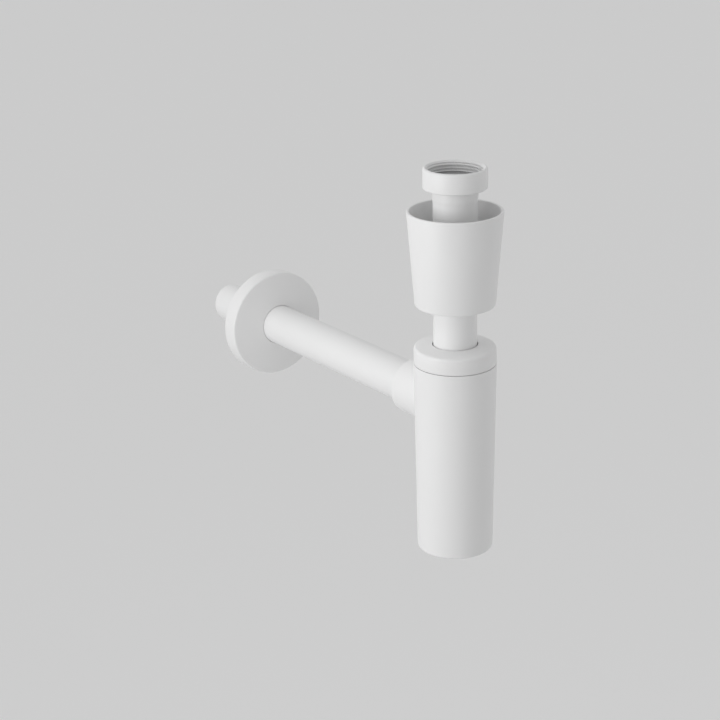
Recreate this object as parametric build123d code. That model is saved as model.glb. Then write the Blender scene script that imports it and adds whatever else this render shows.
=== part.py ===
from build123d import *
import os

# Dip-tube basin trap, in millimetres. +Z is up the inlet, +Y runs out along the outlet pipe.
# The origin is on the inlet axis, in the plane where the nut's thread begins.

# Tubes: 32 mm waste pipe
TUBE_R = 16.0
TUBE_WALL = 1.8
TUBE_BORE_R = TUBE_R - TUBE_WALL

# Clearances
RUN_GAP = 0.05       # a guide or a lip on a pipe that slides in it
FREE_GAP = 0.35      # moving walls that don't guide each other
PIPE_STOP_GAP = 0.3  # pipe end to the stop in the socket

# Flange and collar at the head of the dip tube, and the flat seal on it
COLLAR_STEP = 0.55
COLLAR_R = TUBE_R + COLLAR_STEP
COLLAR_END_Z = -24.6
COLLAR_TAPER = 3.0
FLANGE_WIDTH = 2.55
FLANGE_R = COLLAR_R + FLANGE_WIDTH
FLANGE_THICK = 1.8
DIP_END_Z = -250.0
DIP_END_BEVEL = 0.6
SEAL_THICK = 2.0
SEAL_OVERLAP = 0.2
SEAL_BORE_R = TUBE_BORE_R - SEAL_OVERLAP

# Inlet nut, G 1 1/4 inside thread, here as its plain crest radius
NUT_FLANGE_GAP = 0.4
NUT_THREAD_R = FLANGE_R + NUT_FLANGE_GAP
NUT_THREAD_LENGTH = 8.0
NUT_RELIEF_DEPTH = 0.8
NUT_RELIEF_R = NUT_THREAD_R + NUT_RELIEF_DEPTH
NUT_MOUTH_BEVEL = 2.0
NUT_MOUTH_R = NUT_THREAD_R + NUT_MOUTH_BEVEL
NUT_RIM = 1.8
NUT_R = NUT_MOUTH_R + NUT_RIM
NUT_TOP_Z = 0.8
NUT_BOTTOM_Z = -14.3
NUT_SEAT_Z = -11.9
NUT_TOP_ROUND = 1.7
NUT_BOTTOM_ROUND = 0.8

# Cover cup over the basin waste
CUP_RIM_Z = -30.8
CUP_BASE_Z = -101.1
CUP_RIM_R = 35.1
CUP_BASE_R = 29.55
CUP_WALL = 2.2
CUP_FLOOR = 2.2
CUP_RIM_ROUND = 0.75
CUP_BASE_ROUND = 0.8
CUP_HUB_WALL = 2.95
CUP_HUB_R = TUBE_R + RUN_GAP + CUP_HUB_WALL
CUP_HUB_HEIGHT = 8.0
CUP_HOLE_BEVEL = 0.5

# Screw cap on the trap body
CAP_R = 30.45
CAP_EDGE_Z = -133.55
CAP_CROWN = 2.1
CAP_TOP_ROUND = 2.0
CAP_HOLE_GAP = 0.8
CAP_PLATE_Z = -135.6
CAP_SKIRT_Z = -145.9
CAP_SKIRT_WALL = 2.8
CAP_SKIRT_ROUND = 0.3

# Trap body
SEAM_GAP = 0.4
BODY_LEDGE = 0.2     # how far the body's top stands out past the cap
BODY_TOP_R = CAP_R + BODY_LEDGE
BODY_BASE_R = 28.47
BODY_BASE_Z = -293.2
BODY_WALL = 2.5
BODY_FLOOR = 2.8
BODY_BASE_ROUND = 1.2
BODY_TOP_ROUND = 0.3
NECK_R = CAP_R - CAP_SKIRT_WALL - FREE_GAP
NECK_WALL = 2.6
NECK_BORE_R = NECK_R - NECK_WALL
SHOULDER_THICK = 3.0

# Slip ring and lip seal under the cap's plate
SLIP_RING_THICK = 1.2
CAP_SEAL_FLANGE = 2.3
CAP_SEAL_DEPTH = 7.0
CAP_SEAL_INSET = 0.3
CAP_SEAL_R = NECK_R - CAP_SEAL_INSET
SLIP_RING_GAP = 0.8
SLIP_RING_BORE_R = TUBE_R + SLIP_RING_GAP
LIP_THICK = 1.3

# Outlet socket
OUTLET_Z = -179.0
SEAL_CHAMBER_DEPTH = 2.6
SEAL_CHAMBER_R = TUBE_R + SEAL_CHAMBER_DEPTH
SOCKET_WALL = 2.7
SOCKET_R = SEAL_CHAMBER_R + SOCKET_WALL
SOCKET_END_Y = 50.2
SOCKET_END_ROUND = 0.3
SOCKET_ROOT_ROUND = 0.8
SOCKET_LIP = 2.6
SEAL_CHAMBER_Y = 38.4
STOP_Y = 30.2

# Outlet pipe
PIPE_START_Y = STOP_Y + PIPE_STOP_GAP
PIPE_END_Y = 310.7
PIPE_BEVEL_LENGTH = 2.5
PIPE_BEVEL_DEPTH = 0.8

# Wall escutcheon
ESC_EDGE_Y = 236.0
ESC_CROWN = 3.2
ESC_BACK_Y = 249.8
ESC_FRONT_R = 43.5
ESC_BACK_R = 43.6
ESC_WALL = 2.0
ESC_EDGE_ROUND = 1.4
ESC_HUB_WALL = 2.55
ESC_HUB_R = TUBE_R + RUN_GAP + ESC_HUB_WALL
ESC_HUB_LENGTH = 10.0
ESC_HOLE_BEVEL = 0.5


def revolved(profile):
    """Turn a closed profile of (radius, z) points about the Z axis."""
    outline = Polyline(*[(r, 0, z) for r, z in profile], close=True)
    return revolve(make_face(outline), Axis.Z)


def rounded(solid, rings):
    """Round circular edges, each named by its radius, height and fillet radius."""
    for ring_r, ring_z, size in rings:
        edges = [
            edge for edge in solid.edges().filter_by(GeomType.CIRCLE)
            if abs(edge.radius - ring_r) < 0.02 and abs(edge.arc_center.Z - ring_z) < 0.02
        ]
        solid = fillet(edges, size)
    return solid


def along_outlet(solid):
    """Lay a solid turned about Z onto the outlet axis, so that its +Z runs along +Y."""
    return Pos(0, 0, OUTLET_Z) * Rot(-90, 0, 0) * solid


def solid_cylinder(radius, low, high):
    """A cylinder about Z between two heights."""
    return Pos(0, 0, low) * Cylinder(radius, high - low, align=(Align.CENTER, Align.CENTER, Align.MIN))


def inlet_nut():
    """Round union nut: threaded mouth, relief for the flange, web that lifts the flange."""
    hole_r = COLLAR_R + FREE_GAP
    nut = revolved([
        (hole_r, NUT_BOTTOM_Z),
        (NUT_R, NUT_BOTTOM_Z),
        (NUT_R, NUT_TOP_Z),
        (NUT_MOUTH_R, NUT_TOP_Z),
        (NUT_THREAD_R, 0),
        (NUT_THREAD_R, -NUT_THREAD_LENGTH),
        (NUT_RELIEF_R, -NUT_THREAD_LENGTH - NUT_RELIEF_DEPTH),
        (NUT_RELIEF_R, NUT_SEAT_Z),
        (hole_r, NUT_SEAT_Z),
    ])
    return rounded(nut, [
        (NUT_R, NUT_TOP_Z, NUT_TOP_ROUND),
        (NUT_R, NUT_BOTTOM_Z, NUT_BOTTOM_ROUND),
    ])


def dip_tube():
    """Thin tube with a flange at its head and a slightly thicker collar below it."""
    flange_top = NUT_SEAT_Z + FLANGE_THICK
    tube = revolved([
        (TUBE_BORE_R, flange_top),
        (FLANGE_R, flange_top),
        (FLANGE_R, NUT_SEAT_Z),
        (COLLAR_R, NUT_SEAT_Z),
        (COLLAR_R, COLLAR_END_Z + COLLAR_TAPER),
        (TUBE_R, COLLAR_END_Z),
        (TUBE_R, DIP_END_Z + DIP_END_BEVEL),
        (TUBE_R - DIP_END_BEVEL, DIP_END_Z),
        (TUBE_BORE_R, DIP_END_Z),
    ])
    return rounded(tube, [(FLANGE_R, flange_top, 0.4)])


def inlet_seal():
    """Flat rubber ring on the tube's flange."""
    low = NUT_SEAT_Z + FLANGE_THICK
    return revolved([
        (SEAL_BORE_R, low),
        (FLANGE_R, low),
        (FLANGE_R, low + SEAL_THICK),
        (SEAL_BORE_R, low + SEAL_THICK),
    ])


def cover_cup():
    """Thin flared cup, open at the top, with a hub that grips the dip tube."""
    bore_r = TUBE_R + RUN_GAP
    slope = (CUP_RIM_R - CUP_BASE_R) / (CUP_RIM_Z - CUP_BASE_Z)
    floor_z = CUP_BASE_Z + CUP_FLOOR
    floor_r = CUP_BASE_R + slope * CUP_FLOOR - CUP_WALL
    cup = revolved([
        (bore_r + CUP_HOLE_BEVEL, CUP_BASE_Z),
        (CUP_BASE_R, CUP_BASE_Z),
        (CUP_RIM_R, CUP_RIM_Z),
        (CUP_RIM_R - CUP_WALL, CUP_RIM_Z),
        (floor_r, floor_z),
        (CUP_HUB_R, floor_z),
        (CUP_HUB_R, CUP_BASE_Z + CUP_HUB_HEIGHT),
        (bore_r, CUP_BASE_Z + CUP_HUB_HEIGHT),
        (bore_r, CUP_BASE_Z + CUP_HOLE_BEVEL),
    ])
    return rounded(cup, [
        (CUP_BASE_R, CUP_BASE_Z, CUP_BASE_ROUND),
        (floor_r, floor_z, 1.0),
        (CUP_RIM_R, CUP_RIM_Z, CUP_RIM_ROUND),
        (CUP_RIM_R - CUP_WALL, CUP_RIM_Z, CUP_RIM_ROUND),
        (CUP_HUB_R, CUP_BASE_Z + CUP_HUB_HEIGHT, 0.5),
    ])


def trap_cap():
    """Round screw cap: slightly crowned plate with a tube hole, and a skirt over the neck."""
    hole_r = TUBE_R + CAP_HOLE_GAP
    skirt_r = NECK_R + FREE_GAP
    cap = revolved([
        (hole_r, CAP_PLATE_Z),
        (hole_r, CAP_EDGE_Z + CAP_CROWN),
        (CAP_R, CAP_EDGE_Z),
        (CAP_R, CAP_SKIRT_Z),
        (skirt_r, CAP_SKIRT_Z),
        (skirt_r, CAP_PLATE_Z),
    ])
    return rounded(cap, [
        (CAP_R, CAP_EDGE_Z, CAP_TOP_ROUND),
        (CAP_R, CAP_SKIRT_Z, CAP_SKIRT_ROUND),
        (hole_r, CAP_EDGE_Z + CAP_CROWN, 0.3),
    ])


def cap_slip_ring():
    """Hard flat ring that lets the cap turn on the seal."""
    return revolved([
        (SLIP_RING_BORE_R, CAP_PLATE_Z - SLIP_RING_THICK),
        (CAP_SEAL_R, CAP_PLATE_Z - SLIP_RING_THICK),
        (CAP_SEAL_R, CAP_PLATE_Z),
        (SLIP_RING_BORE_R, CAP_PLATE_Z),
    ])


def cap_lip_seal():
    """Rubber ring clamped on the neck, with a lip that runs down onto the dip tube."""
    top = CAP_PLATE_Z - SLIP_RING_THICK
    low = top - CAP_SEAL_FLANGE
    lip_r = TUBE_R + RUN_GAP
    lip_z = top - CAP_SEAL_DEPTH
    return revolved([
        (lip_r + 1.6, top),
        (CAP_SEAL_R, top),
        (CAP_SEAL_R, low),
        (lip_r + 1.6 + LIP_THICK + 0.8, low),
        (lip_r + LIP_THICK, lip_z),
        (lip_r, lip_z),
        (lip_r, lip_z + 1.0),
        (lip_r + 1.6, low - 0.6),
    ])


def neck_top():
    """Height of the neck's rim, where the cap's lip seal rests."""
    return CAP_PLATE_Z - SLIP_RING_THICK - CAP_SEAL_FLANGE


def trap_body():
    """Tapered cup with a neck for the cap and a side socket for the outlet pipe."""
    shoulder_z = CAP_SKIRT_Z - SEAM_GAP
    slope = (BODY_TOP_R - BODY_BASE_R) / (shoulder_z - BODY_BASE_Z)
    outside = revolved([
        (0, BODY_BASE_Z),
        (BODY_BASE_R, BODY_BASE_Z),
        (BODY_TOP_R, shoulder_z),
        (NECK_R, shoulder_z),
        (NECK_R, neck_top()),
        (0, neck_top()),
    ])
    socket = along_outlet(solid_cylinder(SOCKET_R, 0, SOCKET_END_Y))
    shell = outside + socket
    root = [
        edge for edge in shell.edges()
        if edge.geom_type != GeomType.CIRCLE and edge.center().Y > 5 and edge.center().Z < shoulder_z - 5
        and edge.bounding_box().size.X > 1 and edge.bounding_box().size.Y > 1
    ]
    shell = fillet(root, SOCKET_ROOT_ROUND)
    floor_z = BODY_BASE_Z + BODY_FLOOR
    cavity_floor_r = BODY_BASE_R + slope * BODY_FLOOR - BODY_WALL
    flare_low = shoulder_z - SHOULDER_THICK - 3.4
    flare_r = BODY_TOP_R - slope * (shoulder_z - flare_low) - BODY_WALL
    cavity = revolved([
        (0, floor_z),
        (cavity_floor_r, floor_z),
        (flare_r, flare_low),
        (NECK_BORE_R, shoulder_z - SHOULDER_THICK),
        (NECK_BORE_R, neck_top() + 1),
        (0, neck_top() + 1),
    ])
    cavity = rounded(cavity, [(cavity_floor_r, floor_z, 2.0)])
    bores = [
        solid_cylinder(TUBE_BORE_R, 0, STOP_Y + 1),
        solid_cylinder(TUBE_R + RUN_GAP, STOP_Y, SEAL_CHAMBER_Y + 1),
        solid_cylinder(SEAL_CHAMBER_R, SEAL_CHAMBER_Y, SOCKET_END_Y - SOCKET_LIP),
        solid_cylinder(TUBE_R + FREE_GAP, SEAL_CHAMBER_Y, SOCKET_END_Y + 1),
    ]
    body = shell - cavity
    for bore in bores:
        body -= along_outlet(bore)
    end_edges = [
        edge for edge in body.edges().filter_by(GeomType.CIRCLE)
        if abs(edge.radius - SOCKET_R) < 0.02 and abs(edge.arc_center.Y - SOCKET_END_Y) < 0.02
    ]
    body = fillet(end_edges, SOCKET_END_ROUND)
    return rounded(body, [
        (BODY_BASE_R, BODY_BASE_Z, BODY_BASE_ROUND),
        (BODY_TOP_R, shoulder_z, BODY_TOP_ROUND),
    ])


def socket_lip_seal():
    """Rubber ring in the socket's chamber, with one lip that rests on the pipe."""
    low = SEAL_CHAMBER_Y
    high = SOCKET_END_Y - SOCKET_LIP
    lip_r = TUBE_R + RUN_GAP
    ring = revolved([
        (SEAL_CHAMBER_R - 1.2, low),
        (SEAL_CHAMBER_R, low),
        (SEAL_CHAMBER_R, high),
        (SEAL_CHAMBER_R - 1.6, high),
        (SEAL_CHAMBER_R - 1.6, high - 1.5),
        (lip_r, low + 3.6),
        (lip_r, low + 2.4),
        (lip_r + 0.5, low + 2.2),
        (SEAL_CHAMBER_R - 1.2, low + 4.2),
    ])
    return along_outlet(ring)


def outlet_pipe():
    """Straight pipe with a push-in bevel on both ends."""
    pipe = revolved([
        (TUBE_BORE_R, PIPE_START_Y),
        (TUBE_R - PIPE_BEVEL_DEPTH, PIPE_START_Y),
        (TUBE_R, PIPE_START_Y + PIPE_BEVEL_LENGTH),
        (TUBE_R, PIPE_END_Y - PIPE_BEVEL_LENGTH),
        (TUBE_R - PIPE_BEVEL_DEPTH, PIPE_END_Y),
        (TUBE_BORE_R, PIPE_END_Y),
    ])
    return along_outlet(pipe)


def wall_escutcheon():
    """Hollow wall disc with a slightly crowned face and a hub on the pipe."""
    bore_r = TUBE_R + RUN_GAP
    face_y = ESC_EDGE_Y - ESC_CROWN
    inner_rim = ESC_BACK_R - ESC_WALL
    disc = revolved([
        (bore_r, face_y + ESC_HOLE_BEVEL),
        (bore_r + ESC_HOLE_BEVEL, face_y),
        (ESC_FRONT_R, ESC_EDGE_Y),
        (ESC_BACK_R, ESC_BACK_Y),
        (inner_rim, ESC_BACK_Y),
        (ESC_FRONT_R - ESC_WALL, ESC_EDGE_Y + ESC_WALL),
        (ESC_HUB_R, face_y + ESC_WALL + 0.2),
        (ESC_HUB_R, face_y + ESC_HUB_LENGTH),
        (bore_r, face_y + ESC_HUB_LENGTH),
    ])
    disc = rounded(disc, [
        (ESC_FRONT_R, ESC_EDGE_Y, ESC_EDGE_ROUND),
        (ESC_FRONT_R - ESC_WALL, ESC_EDGE_Y + ESC_WALL, 1.0),
        (ESC_BACK_R, ESC_BACK_Y, 0.3),
    ])
    return along_outlet(disc)


os.makedirs("parts", exist_ok=True)
export_step(inlet_nut(), "parts/inlet_nut.step")
export_step(dip_tube(), "parts/dip_tube.step")
export_step(inlet_seal(), "parts/inlet_seal.step")
export_step(cover_cup(), "parts/cover_cup.step")
export_step(trap_cap(), "parts/trap_cap.step")
export_step(cap_slip_ring(), "parts/cap_slip_ring.step")
export_step(cap_lip_seal(), "parts/cap_lip_seal.step")
export_step(trap_body(), "parts/trap_body.step")
export_step(socket_lip_seal(), "parts/socket_lip_seal.step")
export_step(outlet_pipe(), "parts/outlet_pipe.step")
export_step(wall_escutcheon(), "parts/wall_escutcheon.step")
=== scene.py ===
import math

import bmesh
import bpy
from mathutils import Matrix, Vector


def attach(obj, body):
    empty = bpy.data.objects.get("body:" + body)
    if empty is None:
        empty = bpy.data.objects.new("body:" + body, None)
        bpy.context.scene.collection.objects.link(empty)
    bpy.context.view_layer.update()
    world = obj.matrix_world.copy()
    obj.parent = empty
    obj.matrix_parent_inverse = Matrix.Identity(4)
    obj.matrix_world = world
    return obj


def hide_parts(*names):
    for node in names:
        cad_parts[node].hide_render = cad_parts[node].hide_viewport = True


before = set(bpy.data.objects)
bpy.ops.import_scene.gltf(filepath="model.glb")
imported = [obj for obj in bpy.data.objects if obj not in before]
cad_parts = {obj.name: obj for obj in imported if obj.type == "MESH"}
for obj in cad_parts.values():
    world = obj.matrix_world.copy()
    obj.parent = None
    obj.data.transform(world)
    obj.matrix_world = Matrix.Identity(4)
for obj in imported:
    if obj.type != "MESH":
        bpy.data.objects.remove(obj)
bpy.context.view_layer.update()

MM = 0.001


# ---------------------------------------------------------------- sizes

# In millimetres, the same as in the trap's solids: R is a radius, Z a height and Y a distance out
# along the outlet
TUBE_R = 16.0
BORE_R = 14.2
SLIDING_R = 16.05
OUTLET_Z = -179.0

NUT_R = 23.3
NUT_TOP_Z = 0.8
NUT_FOOT_Z = -14.3
NUT_HOLE_R = 16.9
NUT_SEAT_R = 20.3
NUT_MOUTH_R = 21.55
NUT_MAJOR_R = 20.96
NUT_CREST_R = 19.5
THREAD_PITCH = 2.309

FLANGE_R = 19.1
FLANGE_TOP_Z = -10.1
FLANGE_UNDER_Z = -11.9
COLLAR_R = 16.55
COLLAR_END_Z = -21.6
COLLAR_SLOPE_END_Z = -24.6
TUBE_END_Z = -250.0

SEAL_BORE_R = 14.0
SEAL_TOP_Z = -8.1

CUP_RIM_R = 35.1
CUP_RIM_INNER_R = 32.9
CUP_RIM_Z = -30.8
CUP_FOOT_R = 29.55
CUP_FOOT_Z = -101.1
CUP_FLOOR_R = 27.52
CUP_FLOOR_Z = -98.9
CUP_HUB_R = 19.0
CUP_HUB_Z = -93.1

CAP_R = 30.45
CAP_INNER_R = 27.65
CAP_HOLE_R = 16.8
CAP_HOLE_TOP_Z = -131.45
CAP_EDGE_Z = -133.55
CAP_PLATE_UNDER_Z = -135.6
CAP_SKIRT_Z = -145.9

PIPE_START_Y = 30.5
PIPE_TIP_R = 15.2
PIPE_BEVEL_Y = 308.2
PIPE_END_Y = 310.7

DISC_FRONT_R = 43.5
DISC_FRONT_Y = 236.0
DISC_BACK_R = 43.6
DISC_BACK_Y = 249.8
DISC_INNER_R = 41.5
DISC_INNER_Y = 238.0
DISC_HUB_R = 18.6
DISC_HUB_Y = 242.8

# The thread's ridge: half its depth, half its height at the root, its crest's share of that height,
# and the height of its first turn, which lies below the part that is kept
RIB_HALF_DEPTH = 0.8
RIB_HALF_HEIGHT = 1.06
RIB_CREST_SHARE = 0.24
RIB_START_Z = -9.6
RIB_TURNS = 5
RIB_STEPS_A_TURN = 72

# Sides of the turned rings, more on wider pieces
SEGMENTS = 128
WIDE_SEGMENTS = 160
DISC_SEGMENTS = 192

# Points this near are taken as one, edges this short are slivers, and edges under this angle are
# shaded smooth
NEAR = 0.01
SLIVER = 0.004
FINE_ANGLE = math.radians(32)


# ---------------------------------------------------------------- modelling

def clear_selection():
    """Leave edit mode and deselect everything, the loaded solids too."""
    if bpy.context.object and bpy.context.object.mode != "OBJECT":
        bpy.ops.object.mode_set(mode="OBJECT")
    bpy.ops.object.select_all(action="DESELECT")


def make_active(piece):
    clear_selection()
    piece.select_set(True)
    bpy.context.view_layer.objects.active = piece


def pick_edges(piece, wanted):
    """Select the edges of the piece in edit mode whose two ends satisfy wanted(x, y, z) in mm."""
    mesh = bmesh.from_edit_mesh(piece.data)
    mesh.select_mode = {"EDGE"}
    for face in mesh.faces:
        face.select = False
    for edge in mesh.edges:
        edge.select = all(wanted(*(v.co / MM)) for v in edge.verts)
    mesh.select_flush_mode()
    bmesh.update_edit_mesh(piece.data)


def on_ring(ring_r, ring_z):
    """A test for the points of one ring about Z."""
    return lambda x, y, z: abs(z - ring_z) < NEAR and abs(math.hypot(x, y) - ring_r) < NEAR


def turned(name, profile, rounds=(), segments=SEGMENTS):
    """A piece turned about Z: a circle is extruded from point to point of a closed profile.

    The profile's points are (radius, height) in mm. Each of the rounds is (point, size, steps) of
    an edge that is bevelled round."""
    clear_selection()
    first_r, first_z = profile[0]
    bpy.ops.mesh.primitive_circle_add(vertices=segments, radius=first_r * MM, location=(0, 0, 0))
    piece = bpy.context.object
    piece.name = name
    piece.data.name = name
    bpy.ops.object.mode_set(mode="EDIT")
    bpy.ops.mesh.select_all(action="SELECT")
    bpy.ops.transform.translate(value=(0, 0, first_z * MM))
    for (last_r, last_z), (ring_r, ring_z) in zip(profile, profile[1:]):
        rise = (ring_z - last_z) * MM
        grow = ring_r / last_r
        bpy.ops.mesh.extrude_region_move(TRANSFORM_OT_translate={"value": (0, 0, rise)})
        bpy.ops.transform.resize(value=(grow, grow, 1), center_override=(0, 0, ring_z * MM))
    at_start = on_ring(*profile[0])
    at_end = on_ring(*profile[-1])
    pick_edges(piece, lambda x, y, z: at_start(x, y, z) or at_end(x, y, z))
    bpy.ops.mesh.bridge_edge_loops()
    bpy.ops.mesh.select_all(action="SELECT")
    bpy.ops.mesh.normals_make_consistent(inside=False)
    for point, size, steps in rounds:
        pick_edges(piece, on_ring(*point))
        bpy.ops.mesh.bevel(
            offset=size * MM, offset_type="OFFSET", segments=steps, profile=0.5, affect="EDGES",
        )
    clear_selection()
    return piece


def lay_along_outlet(piece):
    """Turn a piece made about Z so that its +Z runs along +Y, on the outlet's height."""
    make_active(piece)
    bpy.ops.object.mode_set(mode="EDIT")
    bpy.ops.mesh.select_all(action="SELECT")
    bpy.ops.transform.rotate(value=math.pi / 2, orient_axis="X", center_override=(0, 0, 0))
    mesh = bmesh.from_edit_mesh(piece.data)
    if sum(v.co.y for v in mesh.verts) < 0:
        bpy.ops.transform.rotate(value=math.pi, orient_axis="X", center_override=(0, 0, 0))
    bpy.ops.transform.translate(value=(0, 0, OUTLET_Z * MM))
    clear_selection()


def smooth(piece):
    make_active(piece)
    bpy.ops.object.shade_smooth_by_angle(angle=FINE_ANGLE)
    clear_selection()


def combine(piece, other, operation):
    """Join or intersect the piece with another one, which is used up, and clear away slivers."""
    make_active(piece)
    step = piece.modifiers.new("combine", "BOOLEAN")
    step.object = other
    step.operation = operation
    step.solver = "EXACT"
    bpy.ops.object.modifier_apply(modifier=step.name)
    bpy.data.objects.remove(other)
    bpy.ops.object.mode_set(mode="EDIT")
    bpy.ops.mesh.select_all(action="SELECT")
    bpy.ops.mesh.remove_doubles(threshold=SLIVER * MM)
    bpy.ops.mesh.dissolve_degenerate(threshold=SLIVER * MM)
    clear_selection()


# ---------------------------------------------------------------- shader wiring

class Wire:
    """A value in a node tree. Sums, differences and products of wires add their Math nodes."""

    def __init__(self, wiring, socket):
        self.wiring = wiring
        self.socket = socket

    def maths(self, operation, first, second):
        return self.wiring.add("ShaderNodeMath", {"operation": operation}, {0: first, 1: second})

    def __add__(self, other):
        return self.maths("ADD", self, other)

    __radd__ = __add__

    def __sub__(self, other):
        return self.maths("SUBTRACT", self, other)

    def __rsub__(self, other):
        return self.maths("SUBTRACT", other, self)

    def __mul__(self, other):
        return self.maths("MULTIPLY", self, other)

    __rmul__ = __mul__


class Wiring:
    """The nodes of one material, of the world or of a lamp."""

    def __init__(self, owner):
        owner.use_nodes = True
        self.tree = owner.node_tree
        self.tree.nodes.clear()

    def add(self, kind, settings, inputs, out=0):
        """A node with its settings and the values or wires of its inputs, given as one output."""
        node = self.tree.nodes.new(kind)
        for key, value in settings.items():
            setattr(node, key, value)
        for key, value in inputs.items():
            if isinstance(value, Wire):
                self.tree.links.new(value.socket, node.inputs[key])
            else:
                node.inputs[key].default_value = value
        return Wire(self, node.outputs[out]) if len(node.outputs) else None

    def mix(self, amount, first, second):
        """A colour between two colours."""
        return self.add(
            "ShaderNodeMix", {"data_type": "RGBA"}, {0: amount, 6: first, 7: second}, 2,
        )

    def noise(self, place, scale, detail):
        return self.add(
            "ShaderNodeTexNoise", {}, {"Vector": place, "Scale": scale, "Detail": detail},
        )

    def bump(self, height, strength, distance):
        return self.add(
            "ShaderNodeBump", {}, {"Height": height, "Strength": strength, "Distance": distance},
        )

    def finish_with(self, colour, roughness, normal):
        shader = self.add("ShaderNodeBsdfPrincipled", {}, {
            "Base Color": colour, "Roughness": roughness, "Normal": normal,
        })
        self.add("ShaderNodeOutputMaterial", {}, {"Surface": shader})


def grey(level):
    return (level, level, level, 1.0)


# ---------------------------------------------------------------- finishes

# Tones are linear greys, scales are cells per metre and depths are metres
PLASTIC_TONE = 0.8
# The tube's tone is painted light: the tube is the same white plastic, made paler only to make up
# for the shade the cup above casts on it
TUBE_TONE_PAINTED_LIGHTER = 0.825
TONE_DRIFT = 0.015
CLOUD_SCALE = 26.0
FLOW_SCALE = 90.0
PLASTIC_GRAIN_SCALE = 1500.0
DIE_LINE_SCALE = 420.0
DIE_LINE_STRETCH = 0.02
PLASTIC_GRAIN_DEPTH = 0.00004

DARKER_RUBBER = (0.36, 0.36, 0.365, 1.0)
PALER_RUBBER = (0.44, 0.44, 0.445, 1.0)
BLOOM_SCALE = 120.0
RUBBER_GRAIN_SCALE = 2600.0
RUBBER_GRAIN_DEPTH = 0.00006


def white_plastic(name, drawn=None, tone=PLASTIC_TONE):
    """Satin white polypropylene. drawn is the axis of an extruded pipe's faint die lines."""
    material = bpy.data.materials.new(name)
    wiring = Wiring(material)
    place = wiring.add("ShaderNodeTexCoord", {}, {}, "Object")
    cloud = wiring.noise(place, CLOUD_SCALE, 3.0)
    grain = wiring.noise(place, PLASTIC_GRAIN_SCALE, 2.0)
    if drawn is None:
        flow = wiring.noise(place, FLOW_SCALE, 1.0)
    else:
        stretch = [1.0, 1.0, 1.0]
        stretch["XYZ".index(drawn)] = DIE_LINE_STRETCH
        along = wiring.add("ShaderNodeMapping", {}, {"Vector": place, "Scale": stretch})
        flow = wiring.noise(along, DIE_LINE_SCALE, 2.0)
    colour = wiring.mix(cloud, grey(tone * (1 - TONE_DRIFT)), grey(tone * (1 + TONE_DRIFT)))
    roughness = 0.36 + 0.1 * cloud + 0.04 * flow
    normal = wiring.bump(0.5 * grain + flow, 0.12, PLASTIC_GRAIN_DEPTH)
    wiring.finish_with(colour, roughness, normal)
    return material


def seal_rubber(name):
    """Matt pale grey rubber with a fine grain and a faint bloom."""
    material = bpy.data.materials.new(name)
    wiring = Wiring(material)
    place = wiring.add("ShaderNodeTexCoord", {}, {}, "Object")
    bloom = wiring.noise(place, BLOOM_SCALE, 4.0)
    grain = wiring.noise(place, RUBBER_GRAIN_SCALE, 2.0)
    colour = wiring.mix(bloom, DARKER_RUBBER, PALER_RUBBER)
    roughness = 0.62 + 0.18 * bloom
    normal = wiring.bump(grain, 0.35, RUBBER_GRAIN_DEPTH)
    wiring.finish_with(colour, roughness, normal)
    return material


MOULDED = white_plastic("white_moulded")
# The tube's paler tone is painted light, against the cup's shade on the tube
TUBE_WHITE = white_plastic("white_drawn_tube_painted_lighter", drawn="Z", tone=TUBE_TONE_PAINTED_LIGHTER)
PIPE_WHITE = white_plastic("white_drawn_pipe", drawn="Y")
RUBBER = seal_rubber("pale_seal_rubber")


# ---------------------------------------------------------------- the union nut

def union_nut():
    """Round nut with a rounded top edge, a helical thread inside and a web under the flange."""
    hole_edge = (NUT_HOLE_R, NUT_FOOT_Z)
    foot_edge = (NUT_R, NUT_FOOT_Z)
    top_edge = (NUT_R, NUT_TOP_Z)
    mouth_edge = (NUT_MOUTH_R, NUT_TOP_Z)
    nut = turned("union_nut", [
        hole_edge, foot_edge, top_edge, mouth_edge, (20.4, -0.45), (NUT_MAJOR_R, -0.75),
        (NUT_MAJOR_R, -8.3), (NUT_SEAT_R, -8.8), (NUT_SEAT_R, FLANGE_UNDER_Z),
        (NUT_HOLE_R, FLANGE_UNDER_Z),
    ], rounds=[
        (top_edge, 1.65, 8), (foot_edge, 0.8, 4), (mouth_edge, 0.08, 2), (hole_edge, 0.3, 2),
    ])
    rib = thread_rib()
    # What is kept of the ridge: it starts behind the mouth's bevel and ends above the seat
    envelope = turned("thread_envelope", [
        (22.4, -8.6), (22.4, 0.3), (21.0, 0.1), (NUT_CREST_R, -1.3), (NUT_CREST_R, -7.6),
        (20.9, -8.6),
    ])
    combine(rib, envelope, "INTERSECT")
    combine(nut, rib, "UNION")
    return nut


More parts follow.
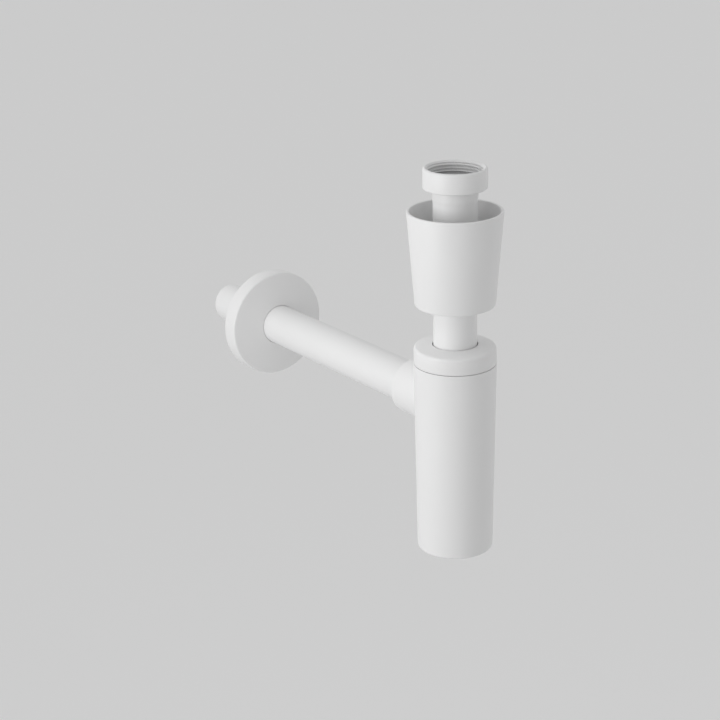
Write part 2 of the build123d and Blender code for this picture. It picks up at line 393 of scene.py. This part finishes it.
def thread_rib():
    """The thread's ridge: its section, wound up a helix by a Screw modifier, with closed ends."""
    clear_selection()
    bpy.ops.mesh.primitive_plane_add(size=2 * MM, location=(0, 0, 0))
    rib = bpy.context.object
    rib.name = "thread_rib"
    bpy.ops.object.mode_set(mode="EDIT")
    bpy.ops.mesh.select_all(action="SELECT")
    bpy.ops.transform.rotate(value=math.pi / 2, orient_axis="X", center_override=(0, 0, 0))
    bpy.ops.transform.resize(
        value=(RIB_HALF_DEPTH, 1, RIB_HALF_HEIGHT), center_override=(0, 0, 0),
    )
    bpy.ops.transform.translate(
        value=((NUT_CREST_R + RIB_HALF_DEPTH) * MM, 0, RIB_START_Z * MM),
    )
    # Wide at the root, narrow at the crest
    pick_edges(rib, lambda x, y, z: x < NUT_CREST_R + RIB_HALF_DEPTH / 2)
    bpy.ops.transform.resize(
        value=(1, 1, RIB_CREST_SHARE), center_override=(0, 0, RIB_START_Z * MM),
    )
    bpy.ops.mesh.select_all(action="SELECT")
    bpy.ops.mesh.delete(type="ONLY_FACE")
    bpy.ops.object.mode_set(mode="OBJECT")
    winding = rib.modifiers.new("winding", "SCREW")
    winding.axis = "Z"
    winding.angle = math.tau
    winding.screw_offset = THREAD_PITCH * MM
    winding.iterations = RIB_TURNS
    winding.steps = RIB_STEPS_A_TURN
    winding.render_steps = RIB_STEPS_A_TURN
    winding.use_smooth_shade = True
    bpy.ops.object.modifier_apply(modifier=winding.name)
    bpy.ops.object.mode_set(mode="EDIT")
    bpy.ops.mesh.select_all(action="SELECT")
    bpy.ops.mesh.remove_doubles(threshold=NEAR * MM)
    # Close the two ends, which are the only open edges
    bpy.ops.mesh.select_all(action="DESELECT")
    bpy.ops.mesh.select_mode(type="EDGE")
    bpy.ops.mesh.select_non_manifold()
    bpy.ops.mesh.edge_face_add()
    bpy.ops.mesh.select_all(action="SELECT")
    bpy.ops.mesh.normals_make_consistent(inside=False)
    clear_selection()
    return rib


# ---------------------------------------------------------------- the other pieces

def dip_tube():
    """The tube with its head flange, the collar under it and a bevelled lower end."""
    flange_edge = (FLANGE_R, FLANGE_TOP_Z)
    collar_edge = (COLLAR_R, COLLAR_END_Z)
    slope_edge = (TUBE_R, COLLAR_SLOPE_END_Z)
    return turned("dip_tube_body", [
        (BORE_R, FLANGE_TOP_Z), flange_edge, (FLANGE_R, FLANGE_UNDER_Z),
        (COLLAR_R, FLANGE_UNDER_Z), collar_edge, slope_edge, (TUBE_R, TUBE_END_Z + 0.6),
        (TUBE_R - 0.6, TUBE_END_Z), (BORE_R, TUBE_END_Z),
    ], rounds=[(flange_edge, 0.4, 3), (collar_edge, 0.8, 4), (slope_edge, 0.8, 4)])


def flat_seal():
    """The flat ring on the tube's flange."""
    outer_edge = (FLANGE_R, SEAL_TOP_Z)
    inner_edge = (SEAL_BORE_R, SEAL_TOP_Z)
    return turned("flat_seal", [
        (SEAL_BORE_R, FLANGE_TOP_Z), (FLANGE_R, FLANGE_TOP_Z), outer_edge, inner_edge,
    ], rounds=[(outer_edge, 0.3, 3), (inner_edge, 0.3, 3)])


def cover_cup():
    """The flared cup, open at the top, with the hub that slides on the tube."""
    foot_edge = (CUP_FOOT_R, CUP_FOOT_Z)
    floor_corner = (CUP_FLOOR_R, CUP_FLOOR_Z)
    rim_edge = (CUP_RIM_R, CUP_RIM_Z)
    rim_inner_edge = (CUP_RIM_INNER_R, CUP_RIM_Z)
    hub_edge = (CUP_HUB_R, CUP_HUB_Z)
    return turned("flared_cover_cup", [
        (SLIDING_R + 0.5, CUP_FOOT_Z), foot_edge, rim_edge, rim_inner_edge, floor_corner,
        (CUP_HUB_R, CUP_FLOOR_Z), hub_edge, (SLIDING_R, CUP_HUB_Z), (SLIDING_R, CUP_FOOT_Z + 0.5),
    ], rounds=[
        (foot_edge, 0.8, 5), (floor_corner, 1.0, 4), (rim_edge, 0.75, 4),
        (rim_inner_edge, 0.75, 4), (hub_edge, 0.5, 3),
    ], segments=WIDE_SEGMENTS)


def screw_cap():
    """The cap: a slightly coned top with a rounded edge, the tube's hole and a plain skirt."""
    hole_edge = (CAP_HOLE_R, CAP_HOLE_TOP_Z)
    top_edge = (CAP_R, CAP_EDGE_Z)
    skirt_edge = (CAP_R, CAP_SKIRT_Z)
    return turned("round_screw_cap", [
        (CAP_HOLE_R, CAP_PLATE_UNDER_Z), hole_edge, top_edge, skirt_edge,
        (CAP_INNER_R, CAP_SKIRT_Z), (CAP_INNER_R, CAP_PLATE_UNDER_Z),
    ], rounds=[
        (top_edge, 2.0, 8), (skirt_edge, 0.3, 3), (hole_edge, 0.3, 3),
    ], segments=WIDE_SEGMENTS)


def outlet_pipe():
    """The straight pipe with both ends bevelled."""
    bevel_edge = (TUBE_R, PIPE_BEVEL_Y)
    tip_edge = (PIPE_TIP_R, PIPE_END_Y)
    pipe = turned("straight_outlet_pipe", [
        (BORE_R, PIPE_START_Y), (PIPE_TIP_R, PIPE_START_Y), (TUBE_R, PIPE_START_Y + 2.5),
        bevel_edge, tip_edge, (BORE_R, PIPE_END_Y),
    ], rounds=[(bevel_edge, 0.6, 3), (tip_edge, 0.2, 2)])
    lay_along_outlet(pipe)
    return pipe


def wall_disc():
    """The wall cover: a shallow coned disc with a turned-back rim, hollow behind, and its hub."""
    front_edge = (DISC_FRONT_R, DISC_FRONT_Y)
    back_edge = (DISC_BACK_R, DISC_BACK_Y)
    inner_corner = (DISC_INNER_R, DISC_INNER_Y)
    disc = turned("wall_cover_disc", [
        (SLIDING_R, 233.3), (SLIDING_R + 0.5, 232.8), front_edge, back_edge, (41.6, DISC_BACK_Y),
        inner_corner, (DISC_HUB_R, 235.0), (DISC_HUB_R, DISC_HUB_Y), (SLIDING_R, DISC_HUB_Y),
    ], rounds=[
        (front_edge, 1.4, 7), (inner_corner, 1.0, 3), (back_edge, 0.3, 3),
    ], segments=DISC_SEGMENTS)
    lay_along_outlet(disc)
    return disc


# Each new piece: what makes it, the body it rides on, its finish, and the solid it stands for
NEW_PIECES = [
    (union_nut, "nut", "white_plastic", MOULDED, "inlet_nut"),
    (dip_tube, "tube", "white_plastic", TUBE_WHITE, "dip_tube"),
    (flat_seal, "tube", "seal_rubber", RUBBER, "inlet_seal"),
    (cover_cup, "cup", "white_plastic", MOULDED, "cover_cup"),
    (screw_cap, "cap", "white_plastic", MOULDED, "trap_cap"),
    (outlet_pipe, "outlet", "white_plastic", PIPE_WHITE, "outlet_pipe"),
    (wall_disc, "wall_cover", "white_plastic", MOULDED, "wall_escutcheon"),
]

# Solids whose shape is right already, which only get their finish
KEPT_SOLIDS = [
    ("trap_body", MOULDED), ("cap_slip_ring", MOULDED),
    ("cap_lip_seal", RUBBER), ("socket_lip_seal", RUBBER),
]


def dress():
    for make, body, slot, material, node in NEW_PIECES:
        piece = make()
        smooth(piece)
        piece.data.materials.clear()
        piece.data.materials.append(material)
        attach(piece, body)
        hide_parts(node)
    for node, material in KEPT_SOLIDS:
        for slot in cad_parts[node].material_slots:
            slot.material = material


# ---------------------------------------------------------------- floor and light

BACKGROUND = 0.604
FLOOR_TONE = 0.88
FLOOR_Z = -1.6
FLOOR_WIDTH = 60
CAMERA_BEARING = -39.2
EVEN_LIGHT = 0.523
# Each far soft box: height and turn from the camera's bearing in degrees, tightness and strength
SOFT_BOXES = [(54, -65, 30, 1.92), (10, 210, 9, 0.69), (10, 120, 9, 0.48)]
# The near soft lamp: its height and turn in degrees, distance and width in metres, and watts
LAMP_HEIGHT = 9
LAMP_TURN = -53
LAMP_AWAY = 0.75
LAMP_WIDTH = 0.58
LAMP_POWER = 4.42
# In square metres, added to the squared distance, so that what comes near the lamp isn't clipped
LAMP_EVENNESS = 0.5
LAMP_AIM = Vector((0, 0.03, -0.14))


def pale_floor():
    """A wide matt floor, well below the trap, which hangs in the air."""
    clear_selection()
    bpy.ops.mesh.primitive_plane_add(size=FLOOR_WIDTH, location=(0, 0, 0))
    floor = bpy.context.object
    floor.name = "pale_floor"
    bpy.ops.object.mode_set(mode="EDIT")
    bpy.ops.mesh.select_all(action="SELECT")
    bpy.ops.transform.translate(value=(0, 0, FLOOR_Z))
    bpy.ops.object.mode_set(mode="OBJECT")
    material = bpy.data.materials.new("pale_floor")
    wiring = Wiring(material)
    matt = wiring.add("ShaderNodeBsdfDiffuse", {}, {"Color": grey(FLOOR_TONE)})
    wiring.add("ShaderNodeOutputMaterial", {}, {"Surface": matt})
    floor.data.materials.append(material)
    clear_selection()


def light_direction(height, turn):
    """From the trap towards a light, by its height and its turn from the camera, in degrees."""
    bearing = math.radians(CAMERA_BEARING + turn)
    rise = math.radians(height)
    return Vector((
        math.sin(bearing) * math.cos(rise),
        -math.cos(bearing) * math.cos(rise),
        math.sin(rise),
    ))


def studio_light():
    """Even light with soft boxes in it, and a flat grey where the camera sees the surround."""
    world = bpy.data.worlds.new("soft_studio")
    bpy.context.scene.world = world
    wiring = Wiring(world)
    towards = wiring.add("ShaderNodeTexCoord", {}, {}, "Generated")
    level = EVEN_LIGHT
    for height, turn, tightness, strength in SOFT_BOXES:
        facing = wiring.add(
            "ShaderNodeVectorMath", {"operation": "DOT_PRODUCT"},
            {0: towards, 1: light_direction(height, turn)}, "Value",
        )
        glow = wiring.add(
            "ShaderNodeMath", {"operation": "EXPONENT"}, {0: tightness * (facing - 1.0)},
        )
        level = level + strength * glow
    seen = wiring.add("ShaderNodeLightPath", {}, {}, "Is Camera Ray")
    strength = level + seen * (BACKGROUND - level)
    light = wiring.add("ShaderNodeBackground", {}, {"Color": grey(1.0), "Strength": strength})
    wiring.add("ShaderNodeOutputWorld", {}, {"Surface": light})


def side_lamp():
    """The near soft lamp at the left, which no camera ray sees."""
    away = light_direction(LAMP_HEIGHT, LAMP_TURN)
    data = bpy.data.lights.new("side_lamp", "AREA")
    data.shape = "DISK"
    data.size = LAMP_WIDTH
    data.energy = LAMP_POWER
    wiring = Wiring(data)
    fading = wiring.add(
        "ShaderNodeLightFalloff", {}, {"Strength": 1.0, "Smooth": LAMP_EVENNESS}, "Quadratic",
    )
    glow = wiring.add("ShaderNodeEmission", {}, {"Color": grey(1.0), "Strength": fading})
    wiring.add("ShaderNodeOutputLight", {}, {"Surface": glow})
    lamp = bpy.data.objects.new("side_lamp", data)
    bpy.context.scene.collection.objects.link(lamp)
    lamp.location = LAMP_AIM + away * LAMP_AWAY
    lamp.rotation_euler = away.to_track_quat("Z", "Y").to_euler()
    lamp.visible_camera = False


# ---------------------------------------------------------------- camera

# From a fit to the photograph's edges: angles in radians, distances in metres, lens in millimetres
CAMERA_TURN = 0.68475
CAMERA_BACK = 1.22142
CAMERA_HEIGHT = 0.305706
CAMERA_YAW = -0.05721
CAMERA_PITCH = 0.3527
CAMERA_ROLL = -0.01956
CAMERA_LENS = 88.492
SENSOR_WIDTH = 36
VIEW_REACH = 100


def photo_camera():
    """The camera stands back from the trap's axis, looks down with a slight yaw and roll, and is
    then turned about that axis."""
    forward = Vector((
        math.sin(CAMERA_YAW) * math.cos(CAMERA_PITCH),
        math.cos(CAMERA_YAW) * math.cos(CAMERA_PITCH),
        -math.sin(CAMERA_PITCH),
    ))
    right = Vector((math.cos(CAMERA_YAW), -math.sin(CAMERA_YAW), 0))
    up = right.cross(forward)
    tilted_right = right * math.cos(CAMERA_ROLL) + up * math.sin(CAMERA_ROLL)
    tilted_up = up * math.cos(CAMERA_ROLL) - right * math.sin(CAMERA_ROLL)
    turn = Matrix.Rotation(-CAMERA_TURN, 3, "Z")
    axes = Matrix((turn @ tilted_right, turn @ tilted_up, turn @ -forward)).transposed()
    data = bpy.data.cameras.new("photo_camera")
    data.lens = CAMERA_LENS
    data.sensor_width = SENSOR_WIDTH
    data.clip_end = VIEW_REACH
    camera = bpy.data.objects.new("photo_camera", data)
    bpy.context.scene.collection.objects.link(camera)
    camera.location = turn @ Vector((0, -CAMERA_BACK, CAMERA_HEIGHT))
    camera.rotation_euler = axes.to_euler()
    bpy.context.scene.camera = camera


dress()
pale_floor()
studio_light()
side_lamp()
photo_camera()
bpy.context.scene.view_settings.view_transform = "Standard"
